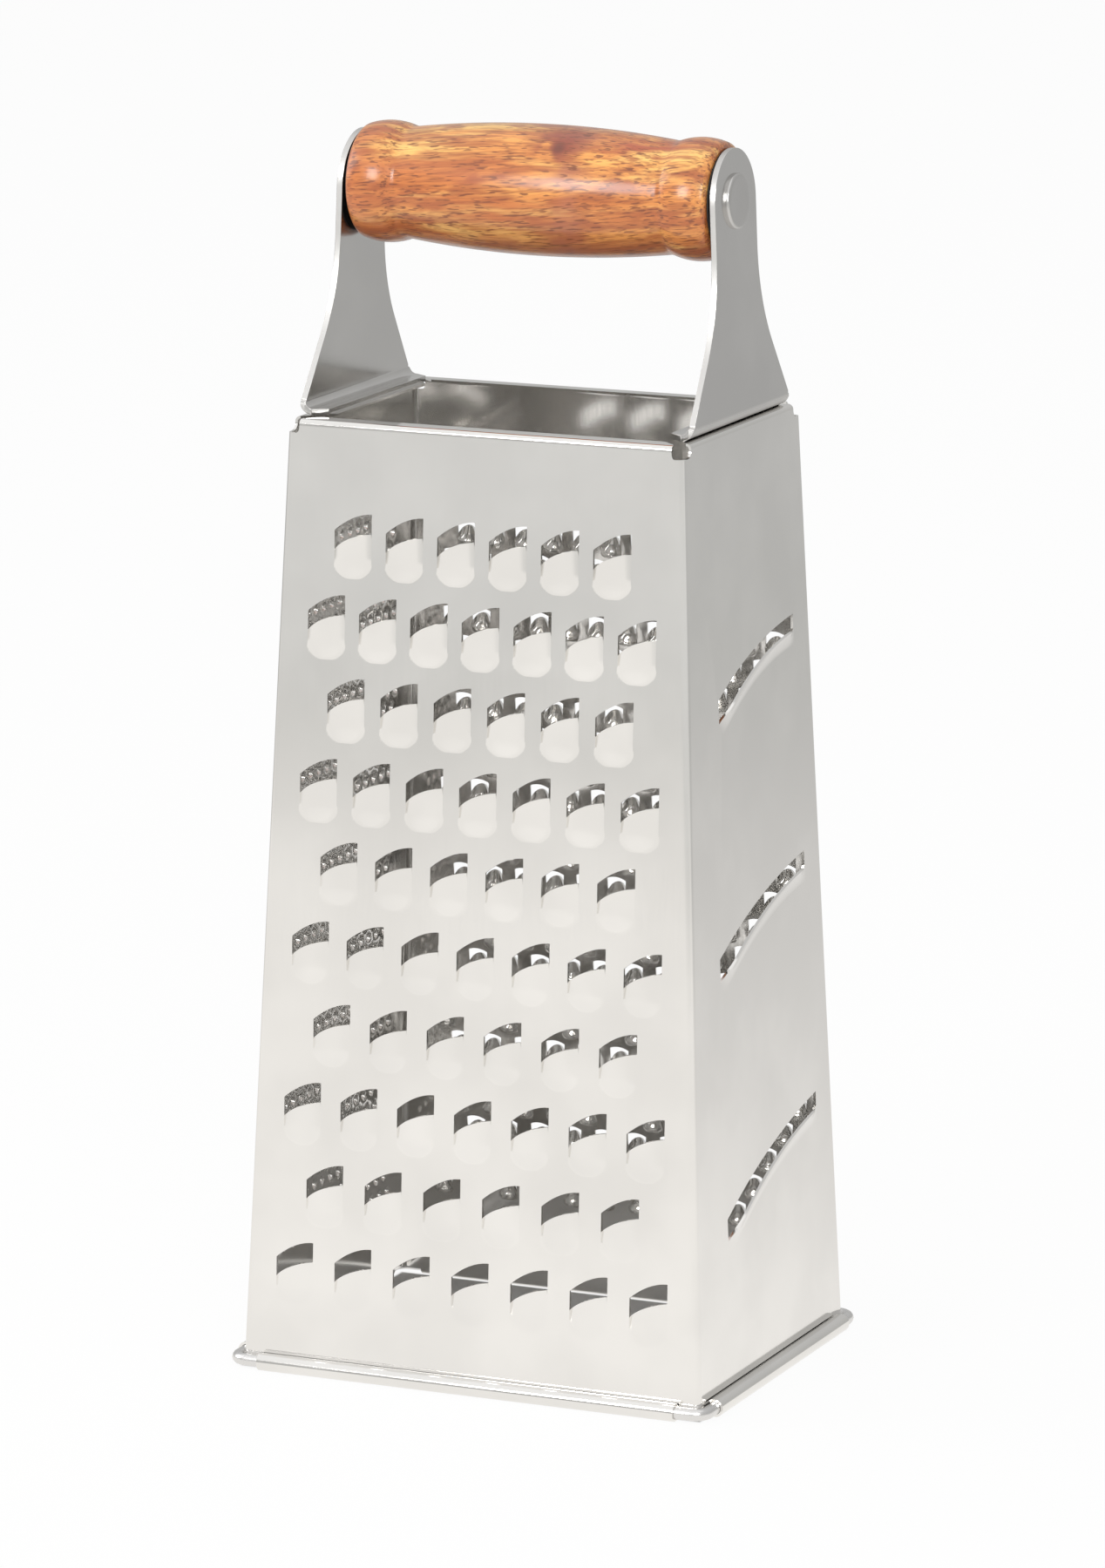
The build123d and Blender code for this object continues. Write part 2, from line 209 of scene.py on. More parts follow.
soft_lamp("lamp_above", (-0.3, -0.5, 1.6), size=3.0, power=11)
soft_lamp("lamp_front", (0.9, -1.6, 0.9), size=0.9, power=11)
soft_lamp("lamp_left", (-1.5, -0.4, 0.8), size=1.0, power=7)
soft_lamp("lamp_grip", (-0.34, -1.2, 0.66), size=0.4, power=4.8)


# Coarse grating wall, in front: stainless sheet half a millimetre thick. Each tooth is an
# arched window over a tongue pressed outward. The sides are bent halfway round the corners,
# the top is folded in, and the foot is rolled round the base wire.
sheet = 0.5 * mm
body_height = 189.0 * mm
base_width, base_depth = 98.0 * mm, 75.4 * mm
top_width, top_depth = 83.1 * mm, 58.8 * mm
corner_bend = 1.4 * mm
flange_bend = 1.1 * mm
front_flange, side_flange = 4.0 * mm, 6.4 * mm
notch_drop, front_notch, side_notch = 2.7 * mm, 2.5 * mm, 3.5 * mm
hem_inner = 1.3 * mm
hem_height = 1.7 * mm
hem_end_gap = 4.5 * mm
hem_turn = math.radians(305)
hem_steps, bend_steps, notch_steps = 26, 8, 4
flat_strip, side_slack = 0.4 * mm, 0.03 * mm
smooth_below = math.radians(32)
tooth_flat, tooth_edge = 0.35, 0.85
front_lean = math.atan((base_depth - top_depth) / 2 / body_height)
side_lean = math.atan((base_width - top_width) / 2 / body_height)


def start(name):
    piece = bpy.context.object
    piece.name = piece.data.name = name
    return piece


def alone(piece):
    bpy.ops.object.select_all(action="DESELECT")
    piece.select_set(True)
    bpy.context.view_layer.objects.active = piece


def edit(piece):
    alone(piece)
    bpy.ops.object.mode_set(mode="EDIT")


def done():
    bpy.ops.object.mode_set(mode="OBJECT")


def stand(piece, place, rotation=(0, 0, 0)):
    """Turn a piece and put it in its place, with both kept in its mesh."""
    alone(piece)
    piece.location, piece.rotation_euler = place, rotation
    bpy.ops.object.transform_apply(location=True, rotation=True, scale=True)
    return piece


def same(first, second, slack=1e-6):
    return abs(first - second) < slack


def pick(kind, test, loose=False):
    """Select the corners or edges whose every corner passes the test. Loose ones are those on
    the rim of the sheet."""
    bpy.ops.mesh.select_mode(type=kind)
    bpy.ops.mesh.select_all(action="DESELECT")
    net = bmesh.from_edit_mesh(bpy.context.object.data)
    for item in net.verts if kind == "VERT" else net.edges:
        corners = [item] if kind == "VERT" else item.verts
        if all(test(corner.co) for corner in corners):
            if not loose or len(item.link_faces) < 2:
                item.select_set(True)
    bmesh.update_edit_mesh(bpy.context.object.data)


def trace(name, points):
    """A closed outline: a ring of as many corners as it has, each moved to its place."""
    bpy.ops.mesh.primitive_circle_add(vertices=len(points))
    outline = start(name)
    for vertex, point in zip(outline.data.vertices, points):
        vertex.co = point
    return outline


def join(pieces):
    alone(pieces[0])
    for piece in pieces:
        piece.select_set(True)
    bpy.ops.object.join()
    return pieces[0]


def spread(pattern, places):
    """Copies of a modelled pattern, each with its own mesh, joined into one."""
    copies = []
    for u, v in places:
        copy = pattern.copy()
        copy.data = pattern.data.copy()
        copy.location = (u, v, 0)
        bpy.context.collection.objects.link(copy)
        copies.append(copy)
    bpy.data.objects.remove(pattern)
    field = join(copies)
    bpy.ops.object.transform_apply(location=True, rotation=True, scale=True)
    return field


def bow(x, half, rise):
    """Height of a round arch over its chord, at x from the middle."""
    radius = (half * half + rise * rise) / (2 * rise)
    return math.sqrt(max(0, radius * radius - x * x)) - radius + rise


def open_above(on_lip, gap):
    """Cut the window over a lip: its upper edge is the lip's copy, laid flat and moved up by gap."""
    pick("EDGE", on_lip, loose=True)
    bpy.ops.mesh.duplicate_move()
    net = bmesh.from_edit_mesh(bpy.context.object.data)
    upper = [corner for corner in net.verts if corner.select]
    ends = [pick_end(upper, key=lambda corner: corner.co.x).co.copy() for pick_end in (min, max)]
    for corner in upper:
        corner.co = (corner.co.x, corner.co.y + gap(corner.co), 0)
    bmesh.update_edit_mesh(bpy.context.object.data)
    for end in ends:
        heights = (end.y, end.y + gap(end))
        pick("VERT", lambda co: same(co.x, end.x, 1e-7) and any(same(co.y, y, 1e-7) for y in heights))
        bpy.ops.mesh.edge_face_add()
    done()


def press_tooth(width, window, slant, arch, crown, swell, tail, columns, rows, rim):
    """One tooth in the flat sheet: x across, y up, z out. The lip slants and bows by its arch,
    the window over it bows by its crown, and the scoop below it ends in a tail. No operator
    gives so smooth a scoop, so its height is worked out at each corner of a grid: tooth_flat is
    its share of the swell at the tail, and tooth_edge says how steep its sides are."""
    half = width / 2
    low = crown - arch - (window + slant) / 2
    foot = low - tail
    crest = low + max(slant, slant / 2 + arch)

    def lip(x):
        return low + slant * (x / half + 1) / 2 + bow(x, half, arch)

    bpy.ops.mesh.primitive_grid_add(x_subdivisions=columns + 2, y_subdivisions=rows, size=2)
    tooth = start("tooth")
    for corner in tooth.data.vertices:
        column = round((corner.co.x + 1) / 2 * (columns + 2))
        row = round((corner.co.y + 1) / 2 * rows)
        x = half * min(1, max(-1, 2 * (column - 1) / columns - 1))
        y = foot + (lip(x) - foot) * (row - 1) / (rows - 1) if row else foot - rim
        round_off = math.hypot(x / half, min(0, (y - foot - half) / half))
        ramp = tooth_flat + (1 - tooth_flat) * max(0, (y - foot) / (crest - foot))
        z = swell * ramp * max(0, 1 - round_off**2) ** tooth_edge
        x += rim * ((column > columns + 1) - (column < 1))
        corner.co = (x, y, z)
    edit(tooth)
    open_above(
        lambda co: abs(co.x) < half + 1e-7 and same(co.y, lip(co.x)),
        lambda co: window + arch - crown + bow(co.x, half, crown) - bow(co.x, half, arch),
    )
    return tooth


def tooth_places(rows, long_row, first_row, row_pitch, margin, shift):
    """Long and short rows take turns, and the columns fan out with the taper."""
    places = []
    for row in range(rows):
        height = first_row + row * row_pitch
        pair_height = first_row + (row - row % 2) * row_pitch
        width = base_width + (top_width - base_width) * pair_height / body_height
        count = long_row - row % 2
        for column in range(count):
            across = (column - (count - 1) / 2) * (width - 2 * margin) / (long_row - 1)
            places.append((across + shift, height / math.cos(front_lean)))
    return places


def raise_sheet(folded, lean, reach, turn, thickness):
    """Turn a folded sheet's outside out, stand it on the floor at its lean and reach, turn it to
    its own side of the grater, and give it its thickness inward."""
    edit(folded)
    bpy.ops.mesh.select_all(action="SELECT")
    bpy.ops.mesh.normals_make_consistent(inside=False)
    if max(bmesh.from_edit_mesh(folded.data).faces, key=lambda face: face.calc_area()).normal.z < 0:
        bpy.ops.mesh.flip_normals()
    done()
    stand(folded, (0, -reach, 0), (math.pi / 2 - lean, 0, 0))
    stand(folded, (0, 0, 0), (0, 0, turn))
    solid = folded.modifiers.new("thickness", "SOLIDIFY")
    solid.thickness = thickness
    solid.offset = -1
    bpy.ops.object.modifier_apply(modifier="thickness")


def fold_wall(name, openings, long_way, turn):
    """The sheet round a field of openings, its bends, fold and hem, stood in its place."""
    if long_way:
        base, top, base_half, top_half = base_width, top_width, base_depth / 2, top_depth / 2
        flange, notch_reach = front_flange, front_notch
    else:
        base, top, base_half, top_half = base_depth, top_depth, base_width / 2, top_width / 2
        flange, notch_reach = side_flange, side_notch
    lean = math.atan((base_half - top_half) / body_height)
    slope = body_height / math.cos(lean)
    taper = (base - top) / 2 / slope
    fold_turn = math.pi / 2 - lean
    fold_start = slope - flange_bend * math.tan(fold_turn / 2)
    hem_start = (hem_height - hem_inner * math.sin(lean)) / math.cos(lean)
    hem_half = base / 2 - hem_end_gap
    low, high = hem_start + flat_strip, fold_start - flat_strip
    inset = corner_bend + flat_strip

    def side(v):
        return base / 2 - taper * v - inset

    # Half the flat sheet's outline up to the notch at its top corner, then the other half.
    points = [(hem_half, low, 0), (side(low), low, 0), (side(slope - notch_drop), slope - notch_drop, 0)]
    for step in range(1, notch_steps + 1):
        angle = step / notch_steps * math.pi / 2
        u = side(slope) - (notch_reach - inset) * math.sin(angle)
        v = slope - notch_drop + (high - slope + notch_drop) * (1 - math.cos(angle))
        points.append((u, v, 0))
    points += [(-u, v, w) for u, v, w in reversed(points)]
    wall = join([openings, trace("outline", points)])
    wall.name = wall.data.name = name
    edit(wall)
    pick("EDGE", lambda co: same(co.z, 0, 1e-8), loose=True)
    bpy.ops.mesh.fill(use_beauty=True)

    # A narrow flat strip runs round the sheet, and each side is bent halfway round its corner.
    pick("EDGE", lambda co: same(co.y, low), loose=True)
    bpy.ops.mesh.extrude_edges_move(TRANSFORM_OT_translate={"value": (0, -flat_strip, 0)})
    pick("EDGE", lambda co: same(co.y, high), loose=True)
    bpy.ops.mesh.extrude_edges_move(TRANSFORM_OT_translate={"value": (0, flat_strip, 0)})
    for way in (-1, 1):
        pick("EDGE", lambda co: way * co.x > side(co.y) - side_slack, loose=True)
        bpy.ops.mesh.extrude_edges_move(TRANSFORM_OT_translate={"value": (way * flat_strip, 0, 0)})
        pick("EDGE", lambda co: way * co.x > side(co.y) + flat_strip - side_slack, loose=True)
        bpy.ops.mesh.spin(
            steps=bend_steps,
            angle=-way * math.pi / 4,
            center=(way * (side(0) + flat_strip), 0, -corner_bend),
            axis=(-way * taper, 1, 0),
        )

    # The top is folded in to a flange with mitred ends, and the foot is rolled to a hem.
    pick("EDGE", lambda co: same(co.y, fold_start) and same(co.z, 0), loose=True)
    bpy.ops.mesh.spin(
        steps=bend_steps, angle=fold_turn, center=(0, fold_start, -flange_bend), axis=(1, 0, 0)
    )
    inward = Vector((0, math.sin(lean), -math.cos(lean)))
    reach = flange - flange_bend * math.tan(fold_turn / 2)
    bpy.ops.mesh.extrude_edges_move(TRANSFORM_OT_translate={"value": inward * reach})
    fold_half = top / 2 - notch_reach
    bpy.ops.transform.resize(value=((fold_half - reach) / fold_half, 1, 1), center_override=(0, 0, 0))
    pick(
        "EDGE",
        lambda co: same(co.y, hem_start) and same(co.z, 0) and abs(co.x) < hem_half + 1e-6,
        loose=True,
    )
    bpy.ops.mesh.spin(steps=hem_steps, angle=hem_turn, center=(0, hem_start, hem_inner), axis=(1, 0, 0))
    bpy.ops.mesh.select_all(action="SELECT")
    bpy.ops.mesh.remove_doubles(threshold=1e-6)
    done()
    raise_sheet(wall, lean, base_half, turn, sheet)
    edit(wall)
    pick("VERT", lambda co: co.z < 0)
    bpy.ops.transform.resize(value=(1, 1, 0), center_override=(0, 0, 0))
    done()
    bpy.ops.object.shade_smooth_by_angle(angle=smooth_below)
    return wall


def steel(name, colour, roughness, grain_scale, unevenness, dull_edge=None):
    """Rolled stainless sheet: fine grain, a slight wave in its flatness, cloudy patches. For
    duller cut edges, dull_edge says how far out the middle of the leaning sheet meets the floor."""
    material = bpy.data.materials.new(name)
    shade = shader_tree(material)
    place = shade.node("ShaderNodeTexCoord", output="Object")
    stretched = shade.node("ShaderNodeMapping", None, {"Vector": place, "Scale": grain_scale})
    grain = shade.node("ShaderNodeTexNoise", None, {"Vector": stretched, "Scale": 1.0, "Detail": 3.0})
    clouds = shade.node("ShaderNodeTexNoise", None, {"Vector": place, "Scale": 38.0, "Detail": 3.0})
    wave = shade.node("ShaderNodeTexNoise", None, {"Vector": place, "Scale": 22.0, "Detail": 1.0})
    bumpy = shade.node(
        "ShaderNodeBump", None, {"Strength": 1.0, "Distance": unevenness, "Height": wave + grain * 0.02}
    )
    dark = tuple(c * 0.93 for c in colour) + (1,)
    rough = roughness + (grain - 0.5) * 0.08 + (clouds - 0.5) * 0.08
    if dull_edge:
        x = shade.node("ShaderNodeSeparateXYZ", None, {0: place}, output="X").size()
        z = shade.node("ShaderNodeSeparateXYZ", None, {0: place}, output="Z")
        off_middle = (x + z * math.tan(side_lean) - dull_edge).size()
        cut_edge = 1 - off_middle.between(0.46 * mm, 0.54 * mm)
        rough = rough + cut_edge * 0.26
    surface = shade.node(
        "ShaderNodeBsdfPrincipled",
        None,
        {
            "Base Color": shade.mix(clouds.between(0.35, 0.7), dark, colour + (1,)),
            "Metallic": 1.0,
            "Roughness": rough,
            "Normal": bumpy,
        },
    )
    shade.node("ShaderNodeOutputMaterial", None, {"Surface": surface})
    return material


def dress(piece, node, body, material):
    piece.data.materials.append(material)
    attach(piece, body)
    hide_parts(node)


body_steel = steel(
    "body_steel", (0.88, 0.865, 0.84), roughness=0.11, grain_scale=(2500, 2500, 60), unevenness=0.05 * mm
)
coarse_teeth = spread(
    press_tooth(
        width=7.9 * mm,
        window=3.85 * mm,
        slant=3.5 * mm,
        arch=0.85 * mm,
        crown=0.85 * mm,
        swell=2.2 * mm,
        tail=5.3 * mm,
        columns=16,
        rows=22,
        rim=0.25 * mm,
    ),
    tooth_places(rows=10, long_row=7, first_row=22.7 * mm, row_pitch=16.12 * mm, margin=10.3 * mm, shift=0),
)
coarse_sheet = fold_wall("coarse_sheet", coarse_teeth, long_way=True, turn=0)
dress(coarse_sheet, "coarse_wall", "root", body_steel)


# Medium grating wall, at the back: the same sheet with smaller teeth whose lips are nearly
# half round. Seen from the front, their field sits a little to the right of the middle.
medium_teeth = spread(
    press_tooth(
        width=4.1 * mm,
        window=1.3 * mm,
        slant=0.3 * mm,
        arch=1.6 * mm,
        crown=0.5 * mm,
        swell=1.3 * mm,
        tail=2.2 * mm,
        columns=8,
        rows=6,
        rim=0.2 * mm,
    ),
    tooth_places(
        rows=25, long_row=12, first_row=22.6 * mm, row_pitch=5.93 * mm, margin=8.4 * mm, shift=-0.9 * mm
    ),
)
medium_sheet = fold_wall("medium_sheet", medium_teeth, long_way=True, turn=math.pi)
dress(medium_sheet, "medium_wall", "root", body_steel)


# Slicing wall, on the right: three long arched slots, cut open above a strip of the sheet
# that is pressed out to a ground lip. Each slot starts in a point near the coarse wall.
slot_arch = 2.6 * mm
slot_mouth, slot_front = 3.0 * mm, 4.6 * mm
slot_back_margin = 9.0 * mm
lip_height, lip_reach, lip_rim = 1.0 * mm, 3.0 * mm, 0.25 * mm
lip_begin, lip_end = 0.14, 0.07
slot_columns, slot_rows = 36, 7
slot_sizes = ((31.4, 47.0, 16.4), (82.9, 44.4, 14.3), (133.1, 38.9, 11.9))


def press_slot(length, rise):
    """One slot in the flat sheet with its point at the origin: its lip rises along an arc."""
    half_chord = math.hypot(length, rise) / 2
    radius = (half_chord**2 + slot_arch**2) / (2 * slot_arch)
    tilt = math.atan2(rise, length)
    drop = radius - slot_arch
    middle = Vector((length / 2 + drop * math.sin(tilt), rise / 2 - drop * math.cos(tilt), 0))
    sweep = 2 * math.asin(half_chord / radius)
    bpy.ops.mesh.primitive_grid_add(x_subdivisions=slot_columns, y_subdivisions=slot_rows, size=2)
    slot = start("slot")
    for corner in slot.data.vertices:
        along = (corner.co.x + 1) / 2
        row = round((corner.co.y + 1) / 2 * slot_rows)
        out = max(0, (row - 1) / (slot_rows - 1))
        angle = math.pi / 2 + tilt + sweep * (0.5 - along)
        reach = radius - lip_reach * (1 - out) - lip_rim * (row == 0)
        ends = min(1, along / lip_begin, (1 - along) / lip_end)
        z = lip_height * out**1.5 * ends * ends * (3 - 2 * ends)
        corner.co = middle + Vector((reach * math.cos(angle), reach * math.sin(angle), z))
    edit(slot)

    def gap(co):
        share = co.x / length
        return slot_mouth + (slot_front - slot_mouth) * 2 * (share - 0.5) * (share - 1)

    open_above(lambda co: same((Vector((co.x, co.y, 0)) - middle).length, radius), gap)
    return slot


slots = []
for tip, length, rise in slot_sizes:
    depth = base_depth + (top_depth - base_depth) * (tip + rise) * mm / body_height
    begin = depth / 2 - slot_back_margin - length * mm
    slots.append(spread(press_slot(length * mm, rise * mm), [(begin, tip * mm / math.cos(side_lean))]))
slicer_sheet = fold_wall("slicer_sheet", join(slots), long_way=False, turn=math.pi / 2)
dress(slicer_sheet, "slicer_wall", "root", body_steel)


# Zesting wall, on the left: small holes punched outward through the same sheet, in staggered
# rows. The punch leaves a torn ring of sharp points round each hole.
burr_rings = (1.45 * mm, 1.25 * mm, 1.12 * mm, 1.0 * mm)
burr_heights = (0, 0, 0.35 * mm, 0.75 * mm)
burr_points = 12
burr_tear = 0.3 * mm
hole_rows, first_hole, hole_row_pitch = 47, 20.0 * mm, 3.3 * mm
hole_pitch, hole_margins = 3.7 * mm, 16.0 * mm


def punch_hole():
    bpy.ops.mesh.primitive_circle_add(vertices=burr_points, radius=burr_rings[0])
    burr = start("burr")
    edit(burr)
    bpy.ops.mesh.select_all(action="SELECT")
    for ring in range(1, len(burr_rings)):
        bpy.ops.mesh.extrude_edges_move(
            TRANSFORM_OT_translate={"value": (0, 0, burr_heights[ring] - burr_heights[ring - 1])}
        )
        narrow = burr_rings[ring] / burr_rings[ring - 1]
        bpy.ops.transform.resize(value=(narrow, narrow, 1), center_override=(0, 0, 0))
    net = bmesh.from_edit_mesh(burr.data)
    for corner in net.verts:
        side = round(math.atan2(corner.co.y, corner.co.x) / (2 * math.pi / burr_points))
        if corner.co.z > burr_heights[2] + 0.1 * mm and side % 2:
            corner.co.z -= burr_tear
    bmesh.update_edit_mesh(burr.data)
    done()
    return burr


def hole_places():
    places = []
    for row in range(hole_rows):
        height = first_hole + hole_row_pitch * row
        room = base_depth + (top_depth - base_depth) * height / body_height - hole_margins
        count = int(room / hole_pitch) + 1
        count -= (count + row % 2) % 2
        for column in range(count):
            places.append(((column - (count - 1) / 2) * hole_pitch, height / math.cos(side_lean)))
    return places


zester_holes = spread(punch_hole(), hole_places())
zester_sheet = fold_wall("zester_sheet", zester_holes, long_way=False, turn=-math.pi / 2)
dress(zester_sheet, "zester_wall", "root", body_steel)


# Base wire: one ring of stainless wire inside the four hems, bare round the corners. It
# stiffens the foot and keeps the body square.
wire_radius, wire_turn = 1.25 * mm, 2.7 * mm
wire_sides, wire_turn_steps = 14, 8
wire_half_x = base_width / 2 - hem_height * math.tan(side_lean) + hem_inner
wire_half_y = base_depth / 2 - hem_height * math.tan(front_lean) + hem_inner
bpy.ops.mesh.primitive_circle_add(
    vertices=wire_sides,
    radius=wire_radius,
    location=(0, -wire_half_y, hem_height),
    rotation=(0, math.pi / 2, 0),
)
wire_ring = start("wire_ring")
bpy.ops.object.transform_apply(location=True, rotation=True, scale=True)
edit(wire_ring)
bpy.ops.mesh.select_all(action="SELECT")
run_x, run_y = wire_half_x - wire_turn, wire_half_y - wire_turn
for run, corner in (
    ((run_x, 0, 0), (run_x, -run_y)),
    ((0, 2 * run_y, 0), (run_x, run_y)),
    ((-2 * run_x, 0, 0), (-run_x, run_y)),
    ((0, -2 * run_y, 0), (-run_x, -run_y)),
):
    bpy.ops.mesh.extrude_edges_move(TRANSFORM_OT_translate={"value": run})
    bpy.ops.mesh.spin(
        steps=wire_turn_steps, angle=-math.pi / 2, center=(*corner, hem_height), axis=(0, 0, 1)
    )
bpy.ops.mesh.extrude_edges_move(TRANSFORM_OT_translate={"value": (run_x, 0, 0)})
bpy.ops.mesh.select_all(action="SELECT")
bpy.ops.mesh.remove_doubles(threshold=1e-6)
bpy.ops.mesh.normals_make_consistent(inside=False)
done()
bpy.ops.object.shade_smooth()
wire_steel = steel(
    "wire_steel", (0.8, 0.79, 0.78), roughness=0.28, grain_scale=(400, 400, 2500), unevenness=0.02 * mm
)
dress(wire_ring, "base_wire", "root", wire_steel)


# Arms: two plates of thicker stainless sheet that carry on the slope of the side walls, round
# at the top and flared to a bent foot that is spot welded on the side flange. Their cut edges
# are tumbled round, and duller than their faces.
arm_sheet = 1.2 * mm
arm_round, arm_flare, arm_flare_top = 10.2 * mm, 35.0 * mm, 222.6 * mm
arm_flare_turn = math.radians(34)
foot_half, foot_bend, foot_reach, foot_taper = 24.3 * mm, 2.7 * mm, 5.6 * mm, 1.8 * mm
foot_widening = ((0.1, 24.0 * mm, 2), (0.2, 24.25 * mm, 2), (0.35, foot_half, 2), (1, foot_half, 8))
flare_steps, round_steps = 20, 18
arm_edge_round = 0.16 * mm
arm_strip = 0.3 * mm
rivet_height, rivet_hole = 232.1 * mm, 2.55 * mm
uphill = 1 / math.cos(side_lean)
foot_turn = math.pi / 2 + side_lean
foot_tangent = foot_bend * math.tan(foot_turn / 2)
bend_start = body_height * uphill + foot_tangent

# The flat blank's outline: up the flare, round the top and down the other side.
flare_x = arm_round + arm_flare * (1 - math.cos(arm_flare_turn))
flare_z = arm_flare_top - arm_flare * math.sin(arm_flare_turn)
blank_low = bend_start + arm_strip
blank_half = flare_x + (flare_z - blank_low / uphill) * math.tan(arm_flare_turn)
side_points = [(blank_half, blank_low, 0)]
for step in range(flare_steps + 1):
    angle = arm_flare_turn * (1 - step / flare_steps)
    x = arm_round + arm_flare * (1 - math.cos(angle))
    side_points.append((x, (arm_flare_top - arm_flare * math.sin(angle)) * uphill, 0))
for step in range(round_steps + 1):
    angle = math.pi / 2 * step / round_steps
    z = rivet_height + arm_round * math.sin(angle)
    side_points.append((arm_round * math.cos(angle), z * uphill, 0))
side_points += [(-x, y, z) for x, y, z in reversed(side_points[:-1])]
blank = trace("right_arm_plate", side_points)
bpy.ops.mesh.primitive_circle_add(vertices=40, radius=rivet_hole, location=(0, rivet_height * uphill, 0))
right_plate = join([blank, bpy.context.object])
edit(right_plate)
bpy.ops.mesh.select_all(action="SELECT")
bpy.ops.mesh.fill(use_beauty=True)

# The foot widens as it is bent in.
pick("EDGE", lambda co: co.y < blank_low + 0.1 * arm_strip, loose=True)
bpy.ops.mesh.extrude_edges_move(TRANSFORM_OT_translate={"value": (0, -arm_strip, 0)})
turned, half = 0, blank_half
for share, wider, steps in foot_widening:
    bpy.ops.mesh.spin(
        steps=steps,
        angle=-(share - turned) * foot_turn,
        center=(0, bend_start, -foot_bend),
        axis=(1, 0, 0),
    )
    bpy.ops.transform.resize(value=(wider / half, 1, 1), center_override=(0, 0, 0))
    turned, half = share, wider
inward = Vector((0, math.sin(side_lean), -math.cos(side_lean)))
bpy.ops.mesh.extrude_edges_move(TRANSFORM_OT_translate={"value": inward * (foot_reach - foot_tangent)})
bpy.ops.transform.resize(value=(1 - foot_taper / foot_half, 1, 1), center_override=(0, 0, 0))
done()
raise_sheet(right_plate, side_lean, base_width / 2, math.pi / 2, arm_sheet)
rounded = right_plate.modifiers.new("tumbled_edges", "BEVEL")
rounded.width = arm_edge_round
rounded.segments = 3
rounded.limit_method = "ANGLE"
rounded.angle_limit = math.radians(50)
bpy.ops.object.modifier_apply(modifier="tumbled_edges")
bpy.ops.object.shade_smooth_by_angle(angle=math.radians(35))
even = right_plate.modifiers.new("flat_faces", "WEIGHTED_NORMAL")
even.keep_sharp = True
bpy.ops.object.modifier_apply(modifier="flat_faces")
left_plate = right_plate.copy()
left_plate.data = right_plate.data.copy()
left_plate.name = left_plate.data.name = "left_arm_plate"
bpy.context.collection.objects.link(left_plate)
stand(left_plate, (0, 0, 0), (0, 0, math.pi))
arm_steel = steel(
    "arm_steel",
    (0.67, 0.66, 0.645),
    roughness=0.18,
    grain_scale=(60, 900, 900),
    unevenness=0.03 * mm,
    dull_edge=base_width / 2 - arm_sheet / 2 * uphill,
)
dress(right_plate, "right_arm", "root", arm_steel)
dress(left_plate, "left_arm", "root", arm_steel)


# Grip: one piece of turned wood on the rivet, thickest in the middle and with a bead at each
# end. It is sanded and lacquered over open pores.
washer_rim, washer_thickness = 10.0 * mm, 0.3 * mm
running_gap = 0.05 * mm
arm_outside = (base_width + (top_width - base_width) * rivet_height / body_height) / 2
washer_face = arm_outside - arm_sheet * uphill - washer_rim * math.tan(side_lean) - running_gap
grip_half = washer_face - washer_thickness - running_gap
grip_bore = 2.57 * mm
bead, bead_radius = grip_half - 4.6 * mm, 11.95 * mm
neck, neck_radius = grip_half - 10.0 * mm, 10.95 * mm
end_radius, middle_radius = 11.0 * mm, 12.8 * mm


def arc_through(first, middle, last, steps):
    """Points on the circle through three points, from the first up to but not at the last."""
    (ax, ay), (bx, by), (cx, cy) = first, middle, last
    twice = 2 * (ax * (by - cy) + bx * (cy - ay) + cx * (ay - by))
    a2, b2, c2 = ax * ax + ay * ay, bx * bx + by * by, cx * cx + cy * cy
    x = (a2 * (by - cy) + b2 * (cy - ay) + c2 * (ay - by)) / twice
    y = (a2 * (cx - bx) + b2 * (ax - cx) + c2 * (bx - ax)) / twice
    radius = math.hypot(ax - x, ay - y)
    begin, finish = math.atan2(ay - y, ax - x), math.atan2(cy - y, cx - x)
    points = []
    for step in range(steps):
        angle = begin + (finish - begin) * step / steps
        points.append((x + radius * math.cos(angle), y + radius * math.sin(angle)))
    return points


def turn_round(name, profile, steps):
    """A turned piece on the rivet's axis, from a closed profile of places along and out."""
    turned = trace(name, [(x, out, 0) for x, out in profile])
    edit(turned)
    bpy.ops.mesh.select_all(action="SELECT")
    bpy.ops.mesh.spin(steps=steps, angle=2 * math.pi, center=(0, 0, 0), axis=(1, 0, 0))
    bpy.ops.mesh.select_all(action="SELECT")
    bpy.ops.mesh.remove_doubles(threshold=1e-6)
    bpy.ops.mesh.dissolve_degenerate(threshold=1e-7)
    bpy.ops.mesh.select_all(action="SELECT")
    bpy.ops.mesh.normals_make_consistent(inside=False)
    done()
    return turned


def ring(place, radius):
    """A test for corners on one circle round the rivet's axis, at either end of the grip."""
    return lambda co: same(abs(co.x), place) and same(math.hypot(co.y, co.z - rivet_height), radius)


profile = arc_through((-grip_half, end_radius), (-bead, bead_radius), (-neck, neck_radius), steps=10)
profile += arc_through((-neck, neck_radius), (0, middle_radius), (neck, neck_radius), steps=30)
profile += arc_through((neck, neck_radius), (bead, bead_radius), (grip_half, end_radius), steps=10)
profile += [(grip_half, end_radius), (grip_half, grip_bore), (-grip_half, grip_bore)]
turned_grip = stand(turn_round("turned_grip", profile, steps=112), (0, 0, rivet_height))
edit(turned_grip)
pick("EDGE", ring(neck, neck_radius))
bpy.ops.mesh.bevel(offset=0.7 * mm, segments=5)
pick("EDGE", ring(grip_half, end_radius))
bpy.ops.mesh.bevel(offset=0.8 * mm, segments=5)
pick("EDGE", ring(grip_half, grip_bore))
bpy.ops.mesh.bevel(offset=0.3 * mm, segments=2)
done()
bpy.ops.object.shade_smooth_by_angle(angle=math.radians(40))

